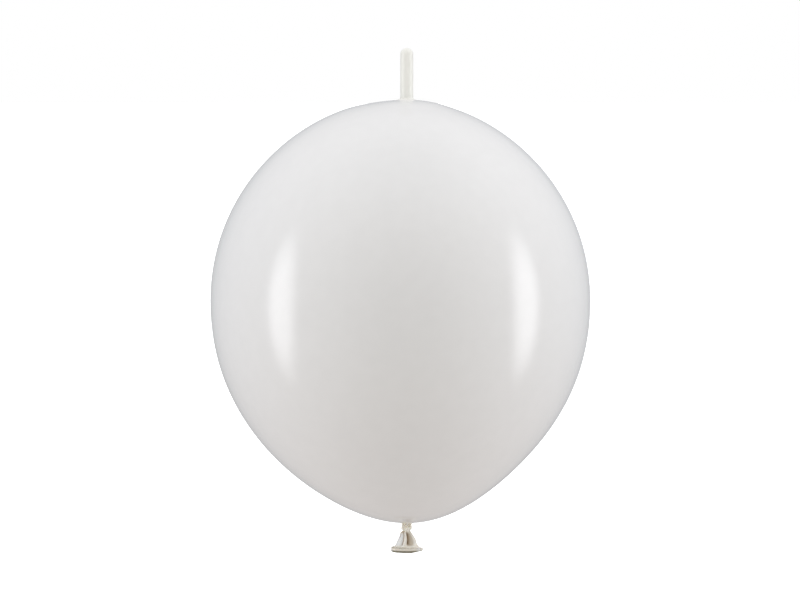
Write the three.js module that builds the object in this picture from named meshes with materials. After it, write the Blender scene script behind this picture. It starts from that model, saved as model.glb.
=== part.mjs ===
// A linking latex balloon, inflated and knotted. Millimetres, +Z up.
// The origin is in the throat, on the axis that joins the knotted neck below to the closed tail above.
// The rubber is one dipped film, cut here into its named regions, which meet with a small gap.
import * as THREE from 'three';

const GAP = 0.3;

// The inflated bulb
const BULB_RADIUS = 150;
const WIDEST_Z = 177;
const CROWN_Z = 335.8;
const BULB_BOTTOM_Z = 1.5;
const CROWN_TAPER = 0.04;
const NECK_TAPER = 0.183;
const FILM = 0.1;
const BULGE_X = -5;
const BULGE_Y = 5;
const BULGE_STARTS_R = 6;
const CROWN_BULGE_R = 45;
const NECK_BULGE_R = 110;
const CROWN_HOLE_R = 12.3;
const THROAT_HOLE_R = 5.3;

// The tail, a short closed tube on the crown
const TAIL_RADIUS = 5.15;
const TAIL_WALL = 0.6;
const TAIL_BORE_R = TAIL_RADIUS - TAIL_WALL;
const TAIL_TOP_Z = 376.5;
const SHOULDER_TOP_Z = 337.4;
const TAIL_ROOT_TOP_Z = 346;
const TAIL_BEND_BOTTOM_Z = 353;
const TAIL_BEND_TOP_Z = 363;

// The knotted neck
const THROAT_RADIUS = 3.3;
const THROAT_BOTTOM_Z = -0.5;
const KNOT_CORE_R = 2.6;
const KNOT_TOP_Z = -0.8;
const KNOT_BOTTOM_Z = -4.6;
const KNOT_WRAP_R = 3.6;
const KNOT_WRAP_Z = -2.6;
const WRAP_HALF_WIDTH = 1.05;
const WRAP_HALF_HEIGHT = 1.6;
const GATHER_TOP_R = 2;
const GATHER_BOTTOM_R = 3.1;
const GATHER_BOTTOM_Z = -6.6;
const SKIRT_TOP_R = 3.7;
const SKIRT_BOTTOM_R = 8.4;
const SKIRT_BOTTOM_Z = -16.4;
const SKIRT_WALL = 0.7;
const PLEATS = 9;
const PLEAT_DEPTH = 0.09;
const LIP_OUTER_R = 12.7;
const LIP_INNER_R = 8.2;
const LIP_FLAT_Z = -21.8;
const LIP_CORNER = 1.2;
const LIP_FLATNESS = 0.5;

const latex = ( color, roughness ) => new THREE.MeshStandardMaterial( { color, roughness, metalness: 0 } );
const bulbLatex = latex( 0xe4e3e0, 0.22 );
const tailLatex = latex( 0xe9e8e0, 0.35 );
const neckLatex = latex( 0xddd6c6, 0.45 );
const lipLatex = latex( 0xe0d8c8, 0.4 );

const balloon = new THREE.Group();

function addPart( name, geometry, material ) {

	const mesh = new THREE.Mesh( geometry, material.clone() );
	mesh.name = name;
	balloon.add( mesh );

}

// Turns an outline of [radius, height] points about the Z axis.
function turned( outline, segments = 24 ) {

	const points = outline.map( ( [ radius, height ] ) => new THREE.Vector2( radius, height ) );
	return new THREE.LatheGeometry( points, segments ).rotateX( Math.PI / 2 );

}

function curved( start, control, end, divisions = 6 ) {

	const vectors = [ start, control, end ].map( ( point ) => new THREE.Vector2( ...point ) );
	return new THREE.QuadraticBezierCurve( ...vectors ).getPoints( divisions ).map( ( p ) => [ p.x, p.y ] );

}

function reshape( geometry, move ) {

	const position = geometry.attributes.position;
	const point = new THREE.Vector3();
	for ( let i = 0; i < position.count; i ++ ) {

		move( point.fromBufferAttribute( position, i ) );
		position.setXYZ( i, point.x, point.y, point.z );

	}

	return geometry;

}

// The bulb's outline is a half ellipse above the widest ring and a longer one below it.
// Each narrows towards its pole by the cube of the height, which gives the pear shape.
function bulbPoint( angle, inset ) {

	const upper = angle > 0;
	const height = ( upper ? CROWN_Z - WIDEST_Z : WIDEST_Z - BULB_BOTTOM_Z ) - inset;
	const narrowing = 1 - ( upper ? CROWN_TAPER : NECK_TAPER ) * Math.abs( Math.sin( angle ) ) ** 3;
	return [ ( BULB_RADIUS - inset ) * Math.cos( angle ) * narrowing, WIDEST_Z + height * Math.sin( angle ) ];

}

function bulbSkin( inset, rings ) {

	const lowest = - Math.acos( THROAT_HOLE_R / ( BULB_RADIUS * ( 1 - NECK_TAPER ) ) );
	const highest = Math.acos( CROWN_HOLE_R / ( BULB_RADIUS * ( 1 - CROWN_TAPER ) ) );
	const skin = [];
	for ( let i = 0; i <= rings; i ++ ) {

		skin.push( bulbPoint( THREE.MathUtils.lerp( lowest, highest, i / rings ), inset ) );

	}

	return skin;

}

// The film is thinner on one side, so the bulb swells off the axis while both of its poles stay on it.
function bulgeSideways( point ) {

	const fullRadius = point.z > WIDEST_Z ? CROWN_BULGE_R : NECK_BULGE_R;
	const share = THREE.MathUtils.smoothstep( Math.hypot( point.x, point.y ), BULGE_STARTS_R, fullRadius );
	point.x += BULGE_X * share;
	point.y += BULGE_Y * share;

}

function bulbEnvelope() {

	const outer = bulbSkin( 0, 26 );
	const inner = bulbSkin( FILM, 26 ).reverse();
	return reshape( turned( [ ...outer, ...inner, outer[ 0 ] ], 40 ), bulgeSideways );

}

// The shoulder is the hollow curve between the crown and the tail.
function crownShoulder() {

	const rim = CROWN_HOLE_R - GAP;
	const rimZ = bulbPoint( Math.acos( rim / ( BULB_RADIUS * ( 1 - CROWN_TAPER ) ) ), 0 )[ 1 ];
	const outer = curved( [ rim, rimZ ], [ TAIL_RADIUS + 1, rimZ + 0.1 ], [ TAIL_RADIUS, SHOULDER_TOP_Z ] );
	const inner = curved(
		[ TAIL_BORE_R, SHOULDER_TOP_Z ],
		[ TAIL_BORE_R + 0.6, rimZ - 0.4 ],
		[ rim, rimZ - TAIL_WALL ]
	);
	return reshape( turned( [ ...outer, ...inner, outer[ 0 ] ] ), bulgeSideways );

}

function tube( bottom, top ) {

	return turned( [
		[ TAIL_RADIUS, bottom ],
		[ TAIL_RADIUS, top ],
		[ TAIL_BORE_R, top ],
		[ TAIL_BORE_R, bottom ],
		[ TAIL_RADIUS, bottom ]
	] );

}

// The tip is a tube closed by a dome.
function tailTip() {

	const dome = ( radius, steps ) => Array.from( { length: steps + 1 }, ( _, i ) => {

		const angle = i / steps * Math.PI / 2;
		return [ radius * Math.cos( angle ), TAIL_TOP_Z - TAIL_RADIUS + radius * Math.sin( angle ) ];

	} );
	const bottom = TAIL_BEND_TOP_Z + GAP;
	return turned( [
		[ TAIL_RADIUS, bottom ],
		...dome( TAIL_RADIUS, 6 ),
		...dome( TAIL_BORE_R, 6 ).reverse(),
		[ TAIL_BORE_R, bottom ],
		[ TAIL_RADIUS, bottom ]
	] );

}

// The throat is gathered solid, and it spreads into the bottom of the bulb.
function throat() {

	const rim = THROAT_HOLE_R - GAP;
	const top = BULB_BOTTOM_Z + 0.3;
	const spread = curved( [ THROAT_RADIUS, THROAT_BOTTOM_Z ], [ THROAT_RADIUS, BULB_BOTTOM_Z ], [ rim, top ] );
	return turned( [ [ 0, THROAT_BOTTOM_Z ], ...spread, [ 0, top ] ] );

}

function knotCore() {

	const side = curved(
		[ KNOT_CORE_R, KNOT_BOTTOM_Z ],
		[ KNOT_CORE_R - 0.6, KNOT_WRAP_Z ],
		[ KNOT_CORE_R, KNOT_TOP_Z ]
	);
	return turned( [ [ 0, KNOT_BOTTOM_Z ], ...side, [ 0, KNOT_TOP_Z ] ] );

}

// The wrap is the turn of neck that is pulled tight round the core.
function knotWrap() {

	const sides = 12;
	const outline = Array.from( { length: sides + 1 }, ( _, i ) => {

		const angle = i / sides * 2 * Math.PI;
		return [ KNOT_WRAP_R + WRAP_HALF_WIDTH * Math.cos( angle ), KNOT_WRAP_Z + WRAP_HALF_HEIGHT * Math.sin( angle ) ];

	} );
	return turned( outline );

}

function skirtGather() {

	const top = KNOT_BOTTOM_Z - GAP;
	const side = curved(
		[ GATHER_BOTTOM_R, GATHER_BOTTOM_Z ],
		[ GATHER_TOP_R, top - 1 ],
		[ GATHER_TOP_R, top ]
	);
	return turned( [ [ 0, GATHER_BOTTOM_Z ], ...side, [ 0, top ] ] );

}

// The neck is round where it is gathered and pressed flat, front to back, at the lip.
function pressFlat( point ) {

	const share = THREE.MathUtils.smoothstep( - point.z, - GATHER_BOTTOM_Z, - SKIRT_BOTTOM_Z );
	point.y *= THREE.MathUtils.lerp( 1, LIP_FLATNESS, share );

}

// The pleats start at the gather and are pulled out smooth by the lip.
function pleat( point ) {

	const open = THREE.MathUtils.smoothstep( point.z, SKIRT_BOTTOM_Z, SKIRT_BOTTOM_Z + 3 );
	const wave = 1 + PLEAT_DEPTH * open * Math.cos( PLEATS * Math.atan2( point.y, point.x ) );
	point.x *= wave;
	point.y *= wave;
	pressFlat( point );

}

function neckSkirt() {

	const top = GATHER_BOTTOM_Z - GAP;
	const flare = [ SKIRT_TOP_R + 2.2, SKIRT_BOTTOM_Z + 4 ];
	const outer = curved( [ SKIRT_BOTTOM_R, SKIRT_BOTTOM_Z ], flare, [ SKIRT_TOP_R, top ] );
	const inner = [ ...outer ].reverse().map( ( [ radius, height ] ) => [ radius - SKIRT_WALL, height ] );
	return reshape( turned( [ ...outer, ...inner, outer[ 0 ] ], 54 ), pleat );

}

// The lip is the bead that the neck's end is rolled into, flat on its underside.
function rolledLip() {

	const top = SKIRT_BOTTOM_Z - GAP;
	const outerCorner = curved( [ LIP_OUTER_R, LIP_FLAT_Z + LIP_CORNER ], [ LIP_OUTER_R, top ], [ LIP_INNER_R + 1.6, top ] );
	const outline = [
		[ LIP_INNER_R, LIP_FLAT_Z ],
		[ LIP_OUTER_R - LIP_CORNER, LIP_FLAT_Z ],
		...outerCorner,
		[ LIP_INNER_R, top - LIP_CORNER ],
		[ LIP_INNER_R, LIP_FLAT_Z ]
	];
	return reshape( turned( outline, 36 ), pressFlat );

}

addPart( 'bulb_envelope', bulbEnvelope(), bulbLatex );
addPart( 'crown_shoulder', crownShoulder(), tailLatex );
addPart( 'tail_root', tube( SHOULDER_TOP_Z + GAP, TAIL_ROOT_TOP_Z ), tailLatex );
addPart( 'tail_tube', tube( TAIL_ROOT_TOP_Z + GAP, TAIL_BEND_BOTTOM_Z - GAP ), tailLatex );
addPart( 'tail_bend', tube( TAIL_BEND_BOTTOM_Z, TAIL_BEND_TOP_Z ), tailLatex );
addPart( 'tail_tip', tailTip(), tailLatex );
addPart( 'throat', throat(), neckLatex );
addPart( 'knot_core', knotCore(), neckLatex );
addPart( 'knot_wrap', knotWrap(), neckLatex );
addPart( 'skirt_gather', skirtGather(), neckLatex );
addPart( 'neck_skirt', neckSkirt(), neckLatex );
addPart( 'rolled_lip', rolledLip(), lipLatex );

export default balloon;
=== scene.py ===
"""A linking latex balloon: bulb, tail and knotted neck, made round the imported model. Metres, +Z up."""

import math

import bpy
import numpy as np
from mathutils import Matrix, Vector, noise


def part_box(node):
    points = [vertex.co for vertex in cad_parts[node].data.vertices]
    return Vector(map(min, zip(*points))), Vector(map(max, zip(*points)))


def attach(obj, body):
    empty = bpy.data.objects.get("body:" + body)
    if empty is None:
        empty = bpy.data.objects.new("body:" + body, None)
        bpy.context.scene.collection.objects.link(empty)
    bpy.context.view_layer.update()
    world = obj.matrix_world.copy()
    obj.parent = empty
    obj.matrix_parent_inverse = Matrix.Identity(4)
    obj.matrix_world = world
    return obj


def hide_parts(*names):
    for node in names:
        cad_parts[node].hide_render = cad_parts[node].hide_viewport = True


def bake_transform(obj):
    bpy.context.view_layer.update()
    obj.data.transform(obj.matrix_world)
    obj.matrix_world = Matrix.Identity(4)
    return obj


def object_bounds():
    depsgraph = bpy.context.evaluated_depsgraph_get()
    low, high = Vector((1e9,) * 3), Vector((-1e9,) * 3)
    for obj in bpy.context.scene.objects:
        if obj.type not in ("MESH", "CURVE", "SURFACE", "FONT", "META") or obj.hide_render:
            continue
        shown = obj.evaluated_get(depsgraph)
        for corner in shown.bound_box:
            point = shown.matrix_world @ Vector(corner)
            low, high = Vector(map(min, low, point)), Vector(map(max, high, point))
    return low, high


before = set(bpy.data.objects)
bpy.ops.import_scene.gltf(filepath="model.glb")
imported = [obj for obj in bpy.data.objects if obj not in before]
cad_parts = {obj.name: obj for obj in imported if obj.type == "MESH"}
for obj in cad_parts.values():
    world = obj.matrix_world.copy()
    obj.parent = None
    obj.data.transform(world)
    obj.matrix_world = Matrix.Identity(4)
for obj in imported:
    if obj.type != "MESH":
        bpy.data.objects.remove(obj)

MM = 0.001
cad_low, cad_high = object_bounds()
bulb_low, bulb_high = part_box("bulb_envelope")

# The bulb's outline, as in the CAD model: two half ellipses that narrow towards the poles
BULB_RADIUS = (bulb_high.x - bulb_low.x) / 2
BULGE = Vector(((bulb_high.x + bulb_low.x) / 2, (bulb_high.y + bulb_low.y) / 2, 0))
WIDEST_Z = 177 * MM
CROWN_Z = 335.8 * MM
BULB_BOTTOM_Z = 1.5 * MM
CROWN_TAPER = 0.04
NECK_TAPER = 0.183
BULGE_STARTS_R = 6 * MM
CROWN_BULGE_R = 45 * MM
NECK_BULGE_R = 110 * MM
BULB_SIDES = 160

# The tail
TAIL_RADIUS = (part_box("tail_tube")[1].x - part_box("tail_tube")[0].x) / 2
TAIL_TOP_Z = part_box("tail_tip")[1].z
SHOULDER_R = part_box("crown_shoulder")[1].x
SHOULDER_TOP_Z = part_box("crown_shoulder")[1].z
TAIL_SEAM_Z = (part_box("tail_tube")[0].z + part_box("tail_tube")[1].z) / 2
TAIL_SIDES = 64
# Where the tail's two skins meet, the lower one runs on just inside the upper one
TAIL_LAP = 1.2 * MM
TAIL_LAP_INSET = 0.01 * MM

# The throat
THROAT_EDGE_R = 8 * MM
THROAT_R = 3.75 * MM
THROAT_FOLDS = 13
THROAT_END_Z = -2.1 * MM
NECK_SIDES = 156
# About the mean of pleats(), so that folds leave a piece as wide as it was
PLEAT_MEAN = 0.6


def smooth(low, high, value):
    """0 below low, 1 above high, and a smooth rise between them."""
    share = min(max((value - low) / (high - low), 0), 1)
    return share * share * (3 - 2 * share)


def mix(a, b, share):
    return a + (b - a) * share


# ---------------------------------------------------------------- camera, light and floor

# Softboxes: (azimuth, elevation, distance), (width, height), radiance. Azimuth 0 is the camera's side.
SOFTBOXES = {
    "left_softbox": ((-71.5, 0, 1.1), (0.52, 1.6), (4.1, 4.1, 4.2)),
    "right_softbox": ((76.5, 0, 1.1), (0.52, 1.6), (4.1, 4.1, 4.2)),
}
# A softbox fades out towards its edge, over this share of its width and height
SOFTBOX_FADE = 0.36
# How far each softbox's ends bend away from the camera's side, so that its reflection stands straight
SOFTBOX_BEND = 0.94
# The studio's glows: direction, how far round it reaches (its lowest dot product) and colour
GLOWS = {
    "all": ((0, 0, 1), -1e6, (0.43, 0.45, 0.47)),
    "front": ((0, -1, 0), 0, (0.15, 0.13, 0.09)),
    "top": ((0.08, 0, 1), 0, (0.58, 0.53, 0.52)),
    "overhead": ((0.08, 0, 1), 0.55, (0.35, 0.39, 0.4)),
    "bottom": ((0, 0, -1), 0, (0.355, 0.28, 0.232)),
}


def make_camera():
    """A nearly level view from far away, with the whole balloon in the middle."""
    distance = 3.2
    frame_width = 0.631
    elevation = math.radians(4)
    aside, above = -0.3 * MM, 0.7 * MM
    aim = Vector((BULGE.x + aside, 0, (cad_low.z + cad_high.z) / 2 + above))
    data = bpy.data.cameras.new("camera")
    data.sensor_width = 36
    data.lens = data.sensor_width * distance / frame_width
    camera = bpy.data.objects.new("camera", data)
    back = Vector((0, -math.cos(elevation), math.sin(elevation)))
    camera.location = aim + back * distance
    camera.rotation_euler = (-back).to_track_quat("-Z", "Y").to_euler()
    bpy.context.scene.collection.objects.link(camera)
    bpy.context.scene.camera = camera


def bent_oval(tree, bend):
    """How far a point of a light lies from its middle line, which bends to one side at the light's ends."""
    new = tree.nodes.new
    link = tree.links.new
    place = new("ShaderNodeNewGeometry")
    centred = new("ShaderNodeVectorMath")
    centred.operation = "SUBTRACT"
    centred.inputs[1].default_value = (0.5, 0.5, 0)
    link(place.outputs["Parametric"], centred.inputs[0])
    split = new("ShaderNodeSeparateXYZ")
    link(centred.outputs["Vector"], split.inputs[0])
    square = new("ShaderNodeMath")
    square.operation = "MULTIPLY"
    link(split.outputs["Y"], square.inputs[0])
    link(split.outputs["Y"], square.inputs[1])
    bent = new("ShaderNodeMath")
    bent.operation = "MULTIPLY_ADD"
    bent.inputs[1].default_value = -bend
    link(square.outputs[0], bent.inputs[0])
    link(split.outputs["X"], bent.inputs[2])
    joined = new("ShaderNodeCombineXYZ")
    link(bent.outputs[0], joined.inputs["X"])
    link(split.outputs["Y"], joined.inputs["Y"])
    reach = new("ShaderNodeVectorMath")
    reach.operation = "LENGTH"
    link(joined.outputs[0], reach.inputs[0])
    return reach.outputs["Value"]


def make_softbox(name, azimuth, elevation, distance, width, height, radiance):
    """A tall oval light that faces the bulb, fades towards its edge and bends back at its ends."""
    data = bpy.data.lights.new(name, "AREA")
    data.shape = "RECTANGLE"
    data.size = width
    data.size_y = height
    strength = max(radiance)
    data.energy = strength * width * height * math.pi
    data.color = [channel / strength for channel in radiance]
    data.use_nodes = True
    tree = data.node_tree
    fade = tree.nodes.new("ShaderNodeMapRange")
    fade.interpolation_type = "SMOOTHSTEP"
    fade.inputs["From Min"].default_value = 0.5
    fade.inputs["From Max"].default_value = 0.5 - SOFTBOX_FADE
    tree.links.new(bent_oval(tree, math.copysign(SOFTBOX_BEND, azimuth)), fade.inputs["Value"])
    tree.links.new(fade.outputs[0], tree.nodes["Emission"].inputs["Strength"])
    light = bpy.data.objects.new(name, data)
    turn, rise = math.radians(azimuth), math.radians(elevation)
    out = Vector((math.sin(turn) * math.cos(rise), -math.cos(turn) * math.cos(rise), math.sin(rise)))
    light.location = Vector((BULGE.x, BULGE.y, WIDEST_Z)) + out * distance
    light.rotation_euler = out.to_track_quat("Z", "Y").to_euler()
    bpy.context.scene.collection.objects.link(light)


def glow_towards(tree, direction, start, colour):
    """A colour that rises smoothly towards one direction."""
    new = tree.nodes.new
    link = tree.links.new
    place = new("ShaderNodeTexCoord")
    towards = new("ShaderNodeVectorMath")
    towards.operation = "DOT_PRODUCT"
    towards.inputs[1].default_value = direction
    link(place.outputs["Generated"], towards.inputs[0])
    share = new("ShaderNodeMapRange")
    share.interpolation_type = "SMOOTHSTEP"
    share.inputs["From Min"].default_value = start
    link(towards.outputs["Value"], share.inputs["Value"])
    glow = new("ShaderNodeVectorMath")
    glow.operation = "SCALE"
    glow.inputs[0].default_value = colour
    link(share.outputs[0], glow.inputs["Scale"])
    return glow.outputs[0]


def make_world():
    """White where the camera sees it. As light it is the sum of broad glows, each from one side."""
    world = bpy.data.worlds.new("studio")
    bpy.context.scene.world = world
    world.use_nodes = True
    tree = world.node_tree
    tree.nodes.clear()
    new = tree.nodes.new
    link = tree.links.new
    total, *others = [glow_towards(tree, *glow) for glow in GLOWS.values()]
    for glow in others:
        both = new("ShaderNodeVectorMath")
        link(total, both.inputs[0])
        link(glow, both.inputs[1])
        total = both.outputs[0]
    lit = new("ShaderNodeBackground")
    link(total, lit.inputs["Color"])
    seen = new("ShaderNodeBackground")
    seen.inputs["Color"].default_value = (1, 1, 1, 1)
    path = new("ShaderNodeLightPath")
    choice = new("ShaderNodeMixShader")
    link(path.outputs["Is Camera Ray"], choice.inputs[0])
    link(lit.outputs[0], choice.inputs[1])
    link(seen.outputs[0], choice.inputs[2])
    output = new("ShaderNodeOutputWorld")
    link(choice.outputs[0], output.inputs["Surface"])


def make_floor():
    """A pale floor well below the balloon. It lights nothing: the studio alone shades the balloon."""
    drop = 0.5
    half = 40
    mesh = bpy.data.meshes.new("floor")
    corners = [(-half, -half, 0), (half, -half, 0), (half, half, 0), (-half, half, 0)]
    mesh.from_pydata(corners, [], [(0, 1, 2, 3)])
    floor = bpy.data.objects.new("floor", mesh)
    floor.location.z = cad_low.z - drop
    bpy.context.scene.collection.objects.link(floor)
    material = bpy.data.materials.new("floor")
    material.use_nodes = True
    shader = material.node_tree.nodes["Principled BSDF"]
    shader.inputs["Base Color"].default_value = (0.8, 0.8, 0.8, 1)
    shader.inputs["Roughness"].default_value = 0.9
    shader.inputs["Emission Color"].default_value = (1, 1, 1, 1)
    shader.inputs["Emission Strength"].default_value = 0.8
    mesh.materials.append(material)
    floor.visible_diffuse = False
    floor.visible_glossy = False
    floor.visible_transmission = False


def make_studio():
    make_world()
    for name, (place, size, radiance) in SOFTBOXES.items():
        make_softbox(name, *place, *size, radiance)
    make_floor()
    bpy.context.scene.view_settings.view_transform = "Standard"


# ---------------------------------------------------------------- meshes


def make_object(name, points, faces):
    mesh = bpy.data.meshes.new(name)
    mesh.from_pydata([tuple(point) for point in points], [], faces)
    mesh.validate()
    mesh.shade_smooth()
    piece = bpy.data.objects.new(name, mesh)
    bpy.context.scene.collection.objects.link(piece)
    return piece


def loft(name, rings, first=None, last=None, closed=False):
    """A skin through rings of equal length.

    first and last are points that close its ends, and closed joins its last ring to its first."""
    count = len(rings[0])
    points = [point for ring in rings for point in ring]
    faces = []
    for i in range(len(rings) if closed else len(rings) - 1):
        low, high = i * count, (i + 1) % len(rings) * count
        for j in range(count):
            k = (j + 1) % count
            faces.append((low + j, low + k, high + k, high + j))
    if first is not None:
        points.append(first)
        faces += [(len(points) - 1, (j + 1) % count, j) for j in range(count)]
    if last is not None:
        points.append(last)
        top = (len(rings) - 1) * count
        faces += [(len(points) - 1, top + j, top + (j + 1) % count) for j in range(count)]
    return make_object(name, points, faces)


def apply_modifiers(piece):
    """Bakes the modifiers into the mesh, so that the mesh holds the final surface."""
    evaluated = piece.evaluated_get(bpy.context.evaluated_depsgraph_get())
    mesh = bpy.data.meshes.new_from_object(evaluated)
    piece.modifiers.clear()
    piece.data = mesh
    mesh.name = piece.name


def mark(piece, name, rule):
    """Writes rule(point) on each point as a named value, which the materials read."""
    values = [rule(vertex.co) for vertex in piece.data.vertices]
    attribute = piece.data.attributes.new(name, "FLOAT", "POINT")
    attribute.data.foreach_set("value", values)


def mark_painted_shade(piece, sharpness=2.2, rounds=2, shade=None):
    """Writes painted shade as a value named crease: 1 in the hollows of a piece and 0 on its folds, from how
    far the mesh bends inwards.

    shade(point) is how deep the latex lies in its own painted shade, in places that are wider than a crease."""
    mesh = piece.data
    count = len(mesh.vertices)
    points = np.empty(count * 3)
    normals = np.empty(count * 3)
    edges = np.empty(len(mesh.edges) * 2, dtype=np.int64)
    mesh.vertices.foreach_get("co", points)
    mesh.vertices.foreach_get("normal", normals)
    mesh.edges.foreach_get("vertices", edges)
    points, normals, edges = points.reshape(-1, 3), normals.reshape(-1, 3), edges.reshape(-1, 2)
    ends = np.concatenate([edges[:, 0], edges[:, 1]])
    others = np.concatenate([edges[:, 1], edges[:, 0]])
    away = points[others] - points[ends]
    steps = np.linalg.norm(away, axis=1)
    rise = np.einsum("ij,ij->i", away, normals[ends]) / np.maximum(steps, 1e-9) ** 2 * 0.5 * MM
    neighbours = np.maximum(np.bincount(ends, minlength=count), 1)
    hollow = np.bincount(ends, rise, count) / neighbours
    for _ in range(rounds):
        hollow = (hollow + np.bincount(ends, hollow[others], count) / neighbours) / 2
    hollow = np.clip(hollow * sharpness, 0, 1)
    if shade:
        hollow = np.maximum(hollow, [shade(vertex.co) for vertex in mesh.vertices])
    # The materials darken the colour towards their crease colour by this value: painted shade in the hollows
    attribute = mesh.attributes.new("crease", "FLOAT", "POINT")
    attribute.data.foreach_set("value", hollow)


def around(sides):
    """The angles of a ring's points."""
    return [2 * math.pi * j / sides for j in range(sides)]


def bell(degrees, direction, width):
    """1 at this direction, and falling to 0 on both sides of it."""
    return math.exp(-(angle_between(degrees, direction) / width) ** 2)


def angle_between(a, b):
    return (a - b + 180) % 360 - 180


def pleats(angle, count, twist=0.0):
    """0 in a crease and 1 on a fold. The folds are round, the creases sharp, and their widths vary."""
    turned = angle + twist
    uneven = turned + 0.16 * math.sin(2 * turned + 1.3) + 0.09 * math.sin(3 * turned + 0.4)
    return abs(math.cos(count * uneven / 2))


# ---------------------------------------------------------------- bulb

BULB_STEPS = 96
# Near its poles, within this radius, the bulb's rings lie closer together, at these radii in millimetres
POLE_R = 14 * MM
BOTTOM_RINGS = (2.5, 3.5, 4.5, 5.5, 6.5, 7.5, 8.5, 9.5, 11, 12.5)
CROWN_RINGS = (12, 10, 8, 6, 4, 2)
# The throat's creases run out onto the bulb and fade
GATHER_DEPTH = 0.55 * MM
GATHER_R = 4 * MM
GATHER_FADE = 4.5 * MM
# The film is unstretched within the first radius, and thin beyond the one for its end of the bulb
UNSTRETCHED_R = 3 * MM
NECK_THIN_R = 16 * MM
CROWN_THIN_R = 11 * MM


def bulb_point(angle):
    """(radius, height) of the outline, at an angle from -90 degrees in the throat to 90 on the crown."""
    upper = angle > 0
    height = CROWN_Z - WIDEST_Z if upper else WIDEST_Z - BULB_BOTTOM_Z
    taper = CROWN_TAPER if upper else NECK_TAPER
    narrowing = 1 - taper * abs(math.sin(angle)) ** 3
    return BULB_RADIUS * math.cos(angle) * narrowing, WIDEST_Z + height * math.sin(angle)


def bulb_angle(radius, upper):
    """The angle near a pole at which the outline has this radius."""
    taper = CROWN_TAPER if upper else NECK_TAPER
    angle = math.acos(radius / (BULB_RADIUS * (1 - taper)))
    return angle if upper else -angle


def bulged(x, y, z):
    """The bulb swells to one side, where the film is thinner. Its poles stay on the axis."""
    full = CROWN_BULGE_R if z > WIDEST_Z else NECK_BULGE_R
    share = smooth(BULGE_STARTS_R, full, math.hypot(x, y))
    return Vector((x, y, z)) + BULGE * share


def bulb_ring(angle):
    radius, height = bulb_point(angle)
    gather = math.exp(-max(radius - GATHER_R, 0) / GATHER_FADE) if angle < 0 else 0
    ring = []
    for turn in around(BULB_SIDES):
        crease = GATHER_DEPTH * gather * (1 - pleats(turn, THROAT_FOLDS))
        ring.append(bulged(radius * math.cos(turn), radius * math.sin(turn), height + crease))
    return ring


def make_bulb():
    """The inflated film, in one skin from the throat to the crown."""
    pole = math.pi / 2
    start, end = bulb_angle(POLE_R, False), bulb_angle(POLE_R, True)
    bottom = [bulb_angle(r * MM, False) for r in BOTTOM_RINGS]
    body = [mix(start, end, i / BULB_STEPS) for i in range(BULB_STEPS + 1)]
    top = [bulb_angle(r * MM, True) for r in CROWN_RINGS]
    rings = [bulb_ring(angle) for angle in bottom + body + top]
    low, high = bulb_point(-pole)[1], bulb_point(pole)[1]
    bulb = loft("bulb_skin", rings, Vector((0, 0, low)), Vector((0, 0, high)))
    mark(bulb, "thick", film_thickness)
    return bulb


def film_thickness(point):
    """1 where the latex isn't stretched, at the throat and the tail, and 0 out on the bulb."""
    reach = math.hypot(point.x, point.y)
    thin = NECK_THIN_R if point.z < WIDEST_Z else CROWN_THIN_R
    return (1 - smooth(UNSTRETCHED_R, thin, reach)) ** 1.5


# ---------------------------------------------------------------- tail

SHOULDER_STEPS = 14
ROOT_STEPS = 24
LAP_STEPS = 4
TIP_STEPS = 40
DOME_STEPS = 14
# The shoulder's curve is drawn towards a point that lies this far out from the tail and up from the crown
SHOULDER_PULL_OUT = 0.7 * MM
SHOULDER_PULL_UP = 0.25 * MM
# The share of the curve that follows the bulb's bulge, and how far its foot is sunk into the bulb
SHOULDER_ON_BULB = 0.4
SHOULDER_SUNK = 0.12 * MM
# Colour changes from the tail's to the bulb's outside this radius
TAIL_THICK_R = 5.3 * MM
# The tail's radius varies by this share, over about this length. It does so fully from this far above the
# shoulder. A turn round the tail follows a circle of the last value through the noise.
UNEVEN_SHARE = 0.018
UNEVEN_LENGTH = 9 * MM
UNEVEN_RISE = 4 * MM
UNEVEN_ROUND = 0.8


def tail_ring(radius, height):
    """One ring of the tail, which is a little uneven, as dipped latex is."""
    starting = smooth(SHOULDER_TOP_Z, SHOULDER_TOP_Z + UNEVEN_RISE, height)
    ring = []
    for turn in around(TAIL_SIDES):
        x, y = math.cos(turn) * UNEVEN_ROUND, math.sin(turn) * UNEVEN_ROUND
        spot = Vector((x, y, height / UNEVEN_LENGTH))
        uneven = 1 + UNEVEN_SHARE * noise.noise(spot) * starting
        ring.append(Vector((radius * uneven * math.cos(turn), radius * uneven * math.sin(turn), height)))
    return ring


def drawn_curve(start, pull, end, t):
    """A point on the curve from start to end that is drawn towards pull."""
    return (1 - t) ** 2 * start + 2 * t * (1 - t) * pull + t * t * end


def shoulder_ring(t):
    """One ring of the shoulder, from the crown, where t is 0, up to the tail, where it is 1."""
    edge_z = bulb_point(bulb_angle(SHOULDER_R, True))[1]
    radius = drawn_curve(SHOULDER_R, TAIL_RADIUS + SHOULDER_PULL_OUT, TAIL_RADIUS, t)
    height = drawn_curve(edge_z, edge_z + SHOULDER_PULL_UP, SHOULDER_TOP_Z, t)
    ring = tail_ring(radius, height)
    if t >= SHOULDER_ON_BULB:
        return ring
    sunk = Vector((0, 0, SHOULDER_SUNK * (1 - smooth(0, 0.25, t))))
    return [bulged(*point) - sunk for point in ring]


def root_thickness(point):
    """1 on the tail, down to 0 at the foot of the shoulder."""
    return 1 - smooth(TAIL_THICK_R, SHOULDER_R - MM, math.hypot(point.x, point.y))


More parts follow.
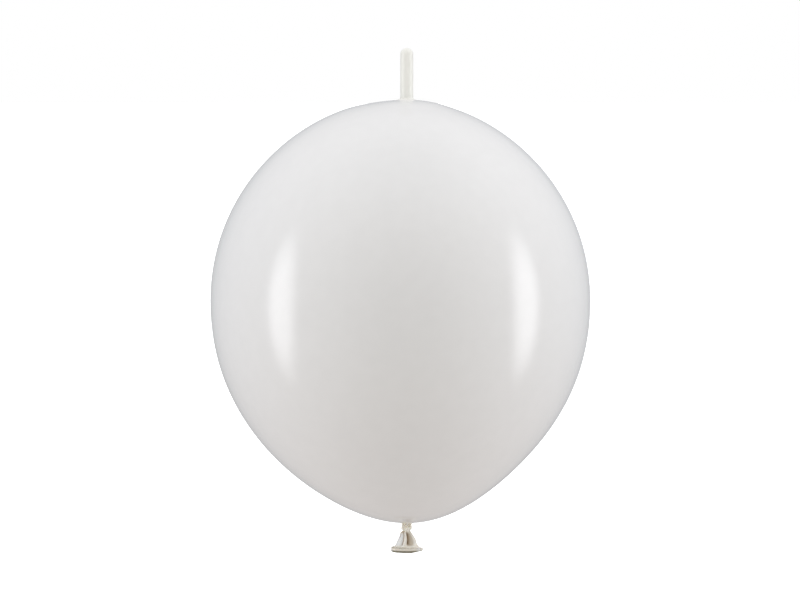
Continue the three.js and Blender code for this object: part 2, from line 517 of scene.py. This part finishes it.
def make_tail_root():
    """The film runs up from the crown in a short hollow curve and on into the lower half of the tail."""
    rings = [shoulder_ring(i / SHOULDER_STEPS) for i in range(SHOULDER_STEPS)]
    for i in range(ROOT_STEPS + 1):
        rings.append(tail_ring(TAIL_RADIUS, mix(SHOULDER_TOP_Z, TAIL_SEAM_Z, i / ROOT_STEPS)))
    for i in range(1, LAP_STEPS + 1):
        rings.append(tail_ring(TAIL_RADIUS - TAIL_LAP_INSET, TAIL_SEAM_Z + TAIL_LAP * i / LAP_STEPS))
    root = loft("tail_root_skin", rings)
    mark(root, "thick", root_thickness)
    return root


def make_tail_tip():
    """The upper half of the tail, closed by its dome."""
    dome_z = TAIL_TOP_Z - TAIL_RADIUS
    rings = []
    for i in range(TIP_STEPS + 1):
        rings.append(tail_ring(TAIL_RADIUS, mix(TAIL_SEAM_Z, dome_z, i / TIP_STEPS)))
    for i in range(1, DOME_STEPS):
        angle = math.pi / 2 * i / DOME_STEPS
        rings.append(tail_ring(TAIL_RADIUS * math.cos(angle), dome_z + TAIL_RADIUS * math.sin(angle)))
    tip = loft("tail_tip_skin", rings, last=Vector((0, 0, TAIL_TOP_Z)))
    mark(tip, "thick", lambda point: 1.0)
    return tip


# ---------------------------------------------------------------- throat

THROAT_STEPS = 44
THROAT_PINCH = 0.45
THROAT_FOLD_DEPTH = 0.14
THROAT_TWIST = 0.7
THROAT_LIFT = 0.22 * MM


def throat_ring(t):
    """One ring of the throat, from the bulb, where t is 0, down into the knot, where it is 1."""
    start_z = bulb_point(bulb_angle(THROAT_EDGE_R, False))[1]
    radius = THROAT_R + (THROAT_EDGE_R - THROAT_R) * (1 - smooth(0, 0.6, t)) ** 1.7
    radius *= 1 - THROAT_PINCH * smooth(0.55, 1, t) ** 1.5
    height = mix(start_z, THROAT_END_Z, t ** 1.35)
    depth = THROAT_FOLD_DEPTH * smooth(0.05, 0.6, t)
    twist = THROAT_TWIST * smooth(0.3, 1, t)
    ring = []
    for turn in around(NECK_SIDES):
        fold = 1 + depth * (pleats(turn, THROAT_FOLDS, twist) - PLEAT_MEAN)
        x, y = radius * fold * math.cos(turn), radius * fold * math.sin(turn)
        lift = THROAT_LIFT * (1 - depth / THROAT_FOLD_DEPTH) * (1 - pleats(turn, THROAT_FOLDS))
        ring.append(bulged(x, y, height + lift))
    return ring


def make_throat():
    """The bulb's film gathers here into sharp pleats, which twist as they run down into the knot."""
    rings = [throat_ring(i / THROAT_STEPS) for i in range(THROAT_STEPS + 1)]
    throat = loft("throat_skin", rings[::-1], first=Vector((0, 0, THROAT_END_Z)))
    mark(throat, "thick", film_thickness)
    # Painted shade in the throat's creases
    mark_painted_shade(throat)
    return throat


# ---------------------------------------------------------------- knot

KNOT_LOW, KNOT_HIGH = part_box("knot_wrap")
KNOT_MIDDLE = (KNOT_LOW + KNOT_HIGH) / 2 + Vector((0.3 * MM, 0, 0.1 * MM))
CORE_STEPS = 44
CORE_TOP_Z, CORE_BOTTOM_Z = -0.5 * MM, -6 * MM
# In millimetres: the core's middle line at its top and at its bottom, its bare radius and what swells it
CORE_TOP_X, CORE_BOTTOM_X = -1.3, 0.4
CORE_R = 1.6
CORE_SWELL = 1.45
CORE_FOLDS = 5
CORE_FOLD_DEPTH = 0.15
CORE_TWIST = 0.9
WRAP_STEPS = 150
WRAP_SIDES = 60
WRAP_START, WRAP_END = math.radians(-72), math.radians(262)
# In millimetres: how far the wrap reaches round the core, how far it tilts, and how strongly its ends rise
WRAP_REACH_X, WRAP_REACH_Y = 2.55, 2.1
WRAP_TILT = 0.55
WRAP_RISE = 1.4
# The wrap's strand: its radius, and how wide and how tall it is for that
WRAP_R = 1.5 * MM
WRAP_WIDE, WRAP_TALL = 0.93, 1.2


def sweep(name, path, across, sides):
    """A strand along a path. across(t, angle) is its (outward, upward) offset, and its ends are closed."""
    rings = []
    count = len(path)
    for i, point in enumerate(path):
        ahead = path[min(i + 1, count - 1)] - path[max(i - 1, 0)]
        along = ahead.normalized()
        outward = Vector((point.x - KNOT_MIDDLE.x, point.y - KNOT_MIDDLE.y, 0))
        outward = (outward - along * outward.dot(along)).normalized()
        upward = along.cross(outward)
        ring = []
        for turn in around(sides):
            out, up = across(i / (count - 1), turn)
            ring.append(point + outward * out + upward * up)
        rings.append(ring)
    return loft(name, rings, path[0], path[-1])


def core_ring(t):
    """One ring of the core, from its bottom, where t is 0, up to its top, where it is 1."""
    radius = (CORE_R + CORE_SWELL * math.sin(math.pi * (0.16 + 0.64 * t)) ** 1.3) * MM
    middle_x = mix(CORE_BOTTOM_X, CORE_TOP_X, smooth(0, 0.42, t))
    centre = Vector((middle_x, -math.sin(math.pi * t), 0)) * MM
    height = mix(CORE_BOTTOM_Z, CORE_TOP_Z, t)
    ring = []
    for turn in around(NECK_SIDES):
        fold = 1 + CORE_FOLD_DEPTH * (pleats(turn, CORE_FOLDS, CORE_TWIST + CORE_TWIST * t) - PLEAT_MEAN)
        bare = Vector((radius * fold * math.cos(turn), radius * fold * math.sin(turn), height))
        ring.append(centre + bare)
    return ring


def make_knot_core():
    """The strand of neck that runs down through the knot, in front and to the left of the turn round it."""
    rings = [core_ring(i / CORE_STEPS) for i in range(CORE_STEPS + 1)]
    foot = Vector((0.5 * MM, 0, CORE_BOTTOM_Z))
    core = loft("knot_core_skin", rings, foot, Vector((CORE_TOP_X * MM, 0, CORE_TOP_Z)))
    mark(core, "thick", lambda point: 1.0)
    # Painted shade in the core's creases
    mark_painted_shade(core)
    return core


def wrap_point(t):
    """A point of the wrap's middle line. Both its ends tuck in under the core."""
    turn = mix(WRAP_START, WRAP_END, t)
    tuck = 1 - 0.6 * (1 - smooth(0, 0.14, t)) - 0.35 * smooth(0.86, 1, t)
    x, y = WRAP_REACH_X * tuck * math.cos(turn), WRAP_REACH_Y * tuck * math.sin(turn)
    return KNOT_MIDDLE + Vector((x, y, WRAP_TILT * math.sin(turn) + WRAP_RISE * (t - 0.3) ** 2)) * MM


def wrap_section(t, angle):
    """The wrap's (outward, upward) offset. It swells to the right and thins at its ends."""
    ends = math.sqrt(math.sin(math.pi * min(max(t, 0.004), 0.996))) ** 0.6
    crease = 1 - 0.12 * (1 - pleats(angle, 4, 1.7 * t + 0.3))
    swell = mix(1.28, 0.86, smooth(0.15, 0.6, t))
    size = WRAP_R * ends * crease * swell
    return size * WRAP_WIDE * math.cos(angle), size * WRAP_TALL * math.sin(angle)


def make_knot_wrap():
    """The turn of neck round the core."""
    path = [wrap_point(i / WRAP_STEPS) for i in range(WRAP_STEPS + 1)]
    wrap = sweep("knot_wrap_skin", path, wrap_section, WRAP_SIDES)
    mark(wrap, "thick", lambda point: 1.0)
    # Painted shade in the wrap's creases
    mark_painted_shade(wrap)
    return wrap


# ---------------------------------------------------------------- skirt

# The skirt's outline from the knot to the lip, in millimetres: (height, left edge, right edge, half-depth)
SKIRT_OUTLINE = [
    (-3.6, -1.7, 1.9, 1.9),
    (-5.0, -2.9, 2.8, 2.5),
    (-6.4, -4.9, 3.7, 3.1),
    (-9.0, -5.7, 5.5, 3.7),
    (-12.0, -7.0, 7.3, 4.3),
    (-15.0, -8.3, 7.9, 4.7),
    (-17.2, -9.6, 9.3, 5.0),
    (-18.8, -10.6, 11.1, 5.1),
]
# The skirt's folds: (direction in degrees, half-width in degrees, depth, height where it starts, and ends)
SKIRT_FOLDS = [
    (-60, 33, 5.4, -5.2, -17.2),
    (-111, 9, 0.8, -5.5, -17.5),
    (72, 22, 2.6, -5.0, -17.2),
    (128, 20, 1.9, -6.0, -16.6),
    (18, 16, 1.4, -5.4, -14.5),
    (-150, 14, 0.7, -5.2, -11.5),
]
# One side of each fold is steeper than the other
FOLD_LEAN = 0.45
# The ridge beside the open fold: its direction and half-width in degrees, and its height in millimetres
RIDGE_DIRECTION = -98
RIDGE_WIDTH = 9
RIDGE_HEIGHT = 1.6
# The plain panel to the left, in degrees: its direction, and its inner and outer half-width
PANEL_DIRECTION = -146
PANEL_INNER, PANEL_OUTER = 20, 34
SKIRT_STEPS = 64
SKIRT_SIDES = 220
SKIRT_PLEATS = 17
# The pleats' depth as a share of the skirt's radius: their sum under the knot, and the second at the lip
PLEAT_DEPTH_TOP, PLEAT_DEPTH_ALL = 0.11, 0.02
SKIRT_FILM = 0.3 * MM


def outline_at(height):
    """The skirt's outline at this height, on a smooth curve through its points."""
    rows = SKIRT_OUTLINE
    i = 0
    while i < len(rows) - 2 and height < rows[i + 1][0]:
        i += 1
    before, low, high, after = rows[max(i - 1, 0)], rows[i], rows[i + 1], rows[min(i + 2, len(rows) - 1)]
    t = (height - low[0]) / (high[0] - low[0])
    found = []
    for a, b, c, d in list(zip(before, low, high, after))[1:]:
        bend = 2 * b + (c - a) * t + (2 * a - 5 * b + 4 * c - d) * t * t + (3 * b - a - 3 * c + d) * t ** 3
        found.append(bend / 2)
    return found


def fold_depth(degrees, height):
    """How far the skirt is folded inwards here, in millimetres. It is negative on the ridge."""
    depth = 0.0
    for direction, half, most, start, end in SKIRT_FOLDS:
        away = angle_between(degrees, direction) / half
        if abs(away) < 1:
            fade = smooth(0, 2.6, start - height) * smooth(0, 2.4, height - end)
            lean = (away + FOLD_LEAN * (1 - away * away)) ** 2
            depth += most * fade * max(1 - lean, 0) ** 1.25
    ridge = bell(degrees, RIDGE_DIRECTION, RIDGE_WIDTH)
    return depth - RIDGE_HEIGHT * ridge * smooth(0, 2.5, -4 - height) * smooth(0, 3.5, height + 18)


def skirt_point(turn, height):
    left, right, deep = outline_at(height)
    middle, wide = (left + right) / 2, (right - left) / 2
    x, y = wide * math.cos(turn), deep * math.sin(turn)
    reach = math.hypot(x, y)
    gather = PLEAT_DEPTH_TOP * (1 - smooth(3, 10, -height)) + PLEAT_DEPTH_ALL
    pleated = reach * (1 + gather * (pleats(turn, SKIRT_PLEATS) - PLEAT_MEAN))
    folded = pleated - fold_depth(math.degrees(turn), height)
    share = max(folded, 0.5) / reach
    return Vector((middle + x * share, y * share, height)) * MM


def make_skirt():
    """The flared end of the neck: one thin film, pleated under the knot, with an open fold in front."""
    top, bottom = SKIRT_OUTLINE[0][0], SKIRT_OUTLINE[-1][0]
    rings = []
    for i in range(SKIRT_STEPS + 1):
        height = mix(bottom, top, i / SKIRT_STEPS)
        rings.append([skirt_point(turn, height) for turn in around(SKIRT_SIDES)])
    skirt = loft("skirt_skin", rings)
    film = skirt.modifiers.new("film", "SOLIDIFY")
    film.thickness = SKIRT_FILM
    film.offset = -1
    soften = skirt.modifiers.new("soften", "SMOOTH")
    soften.iterations = 6
    apply_modifiers(skirt)
    mark(skirt, "thick", skirt_thickness)
    # Painted shade in the skirt's hollows and deep in its folds, and a painted shadow under the knot
    mark_painted_shade(skirt, 3.2, shade=fold_shade)
    return skirt


def fold_shade(point):
    """Painted shade by how deep a point lies in a skirt fold, or under the knot's left side. 0 is in the
    open.
    """
    height = point.z / MM
    left, right, deep = outline_at(height)
    x, y = point.x / MM - (left + right) / 2, point.y / MM
    reach = math.hypot(x / ((right - left) / 2), y / deep)
    # Painted shade inside the folds, darkest deep within them
    inside = 0.42 * (1 - smooth(0.78, 0.97, reach)) + 0.3 * (1 - smooth(0.25, 0.65, reach))
    # A painted shadow under the knot's left side
    painted_knot_shadow = 0.62 * (1 - smooth(5.9, 7.4, -height)) * smooth(0.8, 2.4, -x)
    return max(inside * smooth(5, 8, -height), painted_knot_shadow)


def skirt_thickness(point):
    """1 where the skirt's film lies in folds, and 0 on the plain panel to the left, where it is single."""
    degrees = math.degrees(math.atan2(point.y, point.x))
    panel = 1 - smooth(PANEL_INNER, PANEL_OUTER, abs(angle_between(degrees, PANEL_DIRECTION)))
    height = smooth(6 * MM, 8.5 * MM, -point.z) * (1 - smooth(15.5 * MM, 17.5 * MM, -point.z))
    return 1 - panel * height


# ---------------------------------------------------------------- lip

LIP_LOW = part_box("rolled_lip")[0]
LIP_STEPS = 240
LIP_SIDES = 56
# The loop that the lip's middle line makes: its middle, and its half-width and half-depth
LIP_CENTRE = Vector((0.35 * MM, 0, 0))
LIP_WIDE, LIP_DEEP = 11 * MM, 4.7 * MM
# How far the middle of the lip's front sags
LIP_SAG = 0.55 * MM
# Left and right, in millimetres: the roll's half-height, its half-width, and how high its middle lies
LIP_TALL = (2.2, 1.4)
LIP_BROAD = (1.75, 1.6)
LIP_RAISED = (2.1, 1.9)
# Left and right: 1 is an oval roll, and less is squarer
LIP_SQUARE = (0.7, 1)
# The grooves, in degrees round the roll: the edge of the roll, which wanders, and where the underside begins
ROLL_EDGE, ROLL_EDGE_WANDER, ROLL_EDGE_WIDTH = 58, 22, 10
UNDER_EDGE, UNDER_EDGE_WIDTH = -42, 13


def lip_section(turn, side):
    """The size of the lip's roll: lumpy, with a groove at its edge and one where the underside begins."""
    wobble = noise.noise(Vector((2.2 * math.cos(turn), 2.2 * math.sin(turn), 4.1)))
    spot = Vector((4.2 * math.cos(turn), 4.2 * math.sin(turn), 1.1 * math.cos(side) + 0.8 * math.sin(side)))
    gather = noise.noise(Vector((9 * math.cos(turn), 9 * math.sin(turn), 7.7)))
    degrees = math.degrees(side)
    front = max(-math.sin(turn), 0) ** 0.5
    fading = 1 - 0.8 * smooth(-0.5, 0.2, math.cos(turn))
    size = 1 + 0.15 * noise.noise(spot)
    roll_edge = bell(degrees, ROLL_EDGE + ROLL_EDGE_WANDER * wobble, ROLL_EDGE_WIDTH)
    size -= (0.05 + 0.09 * front) * fading * roll_edge
    size -= 0.2 * front * bell(degrees, UNDER_EDGE, UNDER_EDGE_WIDTH)
    return size + 0.09 * gather * max(math.sin(side), 0)


def squared(value, power):
    """A sine or cosine drawn out, which makes an oval squarer the further its power is below 1."""
    return math.copysign(abs(value) ** power, value)


def lip_ring(turn):
    """The cross-section of the lip at one place of its loop. To the right it is thinner and rounder."""
    right = smooth(0.2, 1, math.cos(turn))
    tall = mix(*LIP_TALL, right) * MM
    broad = mix(*LIP_BROAD, right) * MM
    square = mix(*LIP_SQUARE, right)
    across = Vector((math.cos(turn), math.sin(turn) * LIP_WIDE / LIP_DEEP, 0)).normalized()
    middle = LIP_CENTRE + Vector((LIP_WIDE * math.cos(turn), LIP_DEEP * math.sin(turn), 0))
    sag = LIP_SAG * (1 - math.cos(turn) ** 2) * max(-math.sin(turn), 0)
    middle.z = LIP_LOW.z + mix(*LIP_RAISED, right) * MM - sag
    ring = []
    for side in around(LIP_SIDES):
        size = lip_section(turn, side)
        out = broad * size * squared(math.cos(side), square)
        up = tall * size * squared(math.sin(side), square)
        ring.append(middle + across * out + Vector((0, 0, up)))
    return ring


def lip_thickness(point):
    """1 along the lip, down to 0 at its thin right end."""
    return 1 - smooth(6 * MM, 10 * MM, point.x)


def make_lip():
    """The bead at the end of the neck, rolled up and pressed flat, so that its ring is a long loop."""
    rings = [lip_ring(turn) for turn in around(LIP_STEPS)]
    lip = loft("lip_bead", rings, closed=True)
    mark(lip, "thick", lip_thickness)
    # Painted shade in the lip's grooves and on its underside
    mark_painted_shade(lip, 3, shade=lip_shade)
    return lip


def lip_shade(point):
    """Painted shade on the lip's underside. It is plain at the thin right end."""
    under = smooth(20 * MM, 20.7 * MM, -point.z)
    return 0.95 * under * (1 - smooth(8 * MM, 12 * MM, point.x))


# ---------------------------------------------------------------- materials

BULB_COLOUR = (0.8, 0.8, 0.8)
# Each latex: colours where thin, where thick and of painted shade in creases, roughness, grain size and
# subsurface
LATEX = {
    "bulb_film": (BULB_COLOUR, (0.82, 0.79, 0.75), None, 0.13, 1.2 * MM, 0.0),
    "tail_latex": (BULB_COLOUR, (0.91, 0.91, 0.86), None, 0.3, 0.5 * MM, 0.0),
    "neck_latex": ((0.92, 0.93, 0.92), (0.97, 0.93, 0.83), (0.36, 0.24, 0.13), 0.29, 0.4 * MM, 0.2),
    "lip_latex": ((0.97, 0.97, 0.95), (0.93, 0.88, 0.79), (0.2, 0.185, 0.125), 0.29, 0.4 * MM, 0.2),
}
# The mottling: its size in grains, and how much it changes the colour and the roughness
MOTTLE_GRAINS = 9
MOTTLE_TINT = (0.97, 1.0)
MOTTLE_ROUGHNESS = (0.88, 1.12)
# The range that most of a noise texture's values lie in
NOISE_RANGE = (0.15, 0.85)
# The grain's bump: its strength, and its depth for the size of a grain
GRAIN_STRENGTH = 0.12
GRAIN_DEPTH = 0.08
SUBSURFACE_RADIUS = (1, 0.8, 0.6)
SUBSURFACE_SCALE = 2.5 * MM


def coloured_by(tree, name, colour):
    """A mix from its input A towards a colour, by the value that is marked with this name."""
    marked = tree.nodes.new("ShaderNodeAttribute")
    marked.attribute_name = name
    mixed = tree.nodes.new("ShaderNodeMix")
    mixed.data_type = "RGBA"
    mixed.inputs["B"].default_value = (*colour, 1)
    tree.links.new(marked.outputs["Fac"], mixed.inputs["Factor"])
    return mixed


def noise_value(tree, scale, detail):
    place = tree.nodes.new("ShaderNodeTexCoord")
    texture = tree.nodes.new("ShaderNodeTexNoise")
    texture.inputs["Scale"].default_value = scale
    texture.inputs["Detail"].default_value = detail
    tree.links.new(place.outputs["Object"], texture.inputs["Vector"])
    return texture.outputs["Fac"]


def spread(tree, value, low, high):
    """A noise value, spread from low to high."""
    ranged = tree.nodes.new("ShaderNodeMapRange")
    ranged.inputs["From Min"].default_value = NOISE_RANGE[0]
    ranged.inputs["From Max"].default_value = NOISE_RANGE[1]
    ranged.inputs["To Min"].default_value = low
    ranged.inputs["To Max"].default_value = high
    tree.links.new(value, ranged.inputs["Value"])
    return ranged.outputs[0]


def latex_colour(tree, thin, thick, crease):
    """The colour goes from thin film to thick, and on to the painted shade of deep creases."""
    stretched = coloured_by(tree, "thick", thick)
    stretched.inputs["A"].default_value = (*thin, 1)
    if crease is None:
        return stretched.outputs["Result"]
    # Painted shade: the colour darkens towards the crease colour in the hollows
    creased = coloured_by(tree, "crease", crease)
    tree.links.new(stretched.outputs["Result"], creased.inputs["A"])
    return creased.outputs["Result"]


def latex(name, thin, thick, crease, roughness, grain, subsurface):
    """Latex with faint mottling and a fine grain."""
    material = bpy.data.materials.new(name)
    material.use_nodes = True
    tree = material.node_tree
    shader = tree.nodes["Principled BSDF"]
    new = tree.nodes.new
    link = tree.links.new
    mottle = noise_value(tree, 1 / grain / MOTTLE_GRAINS, 4)
    tint = new("ShaderNodeVectorMath")
    tint.operation = "SCALE"
    link(latex_colour(tree, thin, thick, crease), tint.inputs[0])
    link(spread(tree, mottle, *MOTTLE_TINT), tint.inputs["Scale"])
    link(tint.outputs[0], shader.inputs["Base Color"])
    smoothest, roughest = (roughness * share for share in MOTTLE_ROUGHNESS)
    link(spread(tree, mottle, smoothest, roughest), shader.inputs["Roughness"])
    bump = new("ShaderNodeBump")
    bump.inputs["Strength"].default_value = GRAIN_STRENGTH
    bump.inputs["Distance"].default_value = grain * GRAIN_DEPTH
    link(noise_value(tree, 1 / grain, 3), bump.inputs["Height"])
    link(bump.outputs[0], shader.inputs["Normal"])
    shader.inputs["Subsurface Weight"].default_value = subsurface
    shader.inputs["Subsurface Radius"].default_value = SUBSURFACE_RADIUS
    shader.inputs["Subsurface Scale"].default_value = SUBSURFACE_SCALE
    return material


# ---------------------------------------------------------------- the balloon


def finish_piece(piece, looks, slot, nodes, body=None, joint=None):
    """Gives a piece its material and hides the CAD nodes it stands for. It rides on a body, or has its place
    baked in where a joint is named.
    """
    piece.data.materials.append(looks[slot])
    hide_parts(*nodes)
    if joint:
        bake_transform(piece)
    else:
        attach(piece, body)


def make_balloon():
    looks = {name: latex(name, *look) for name, look in LATEX.items()}
    finish_piece(make_bulb(), looks, "bulb_film", ["bulb_envelope"], body="balloon")
    root_nodes = ["crown_shoulder", "tail_root", "tail_tube"]
    finish_piece(make_tail_root(), looks, "tail_latex", root_nodes, joint="tail_lean")
    finish_piece(make_tail_tip(), looks, "tail_latex", ["tail_bend", "tail_tip"], joint="tail_curl")
    finish_piece(make_throat(), looks, "neck_latex", ["throat"], joint="neck_swing")
    finish_piece(make_knot_core(), looks, "neck_latex", ["knot_core"], body="knot")
    finish_piece(make_knot_wrap(), looks, "neck_latex", ["knot_wrap"], body="knot")
    finish_piece(make_skirt(), looks, "neck_latex", ["skirt_gather", "neck_skirt"], joint="skirt_flop")
    finish_piece(make_lip(), looks, "lip_latex", ["rolled_lip"], body="skirt")


make_camera()
make_studio()
make_balloon()
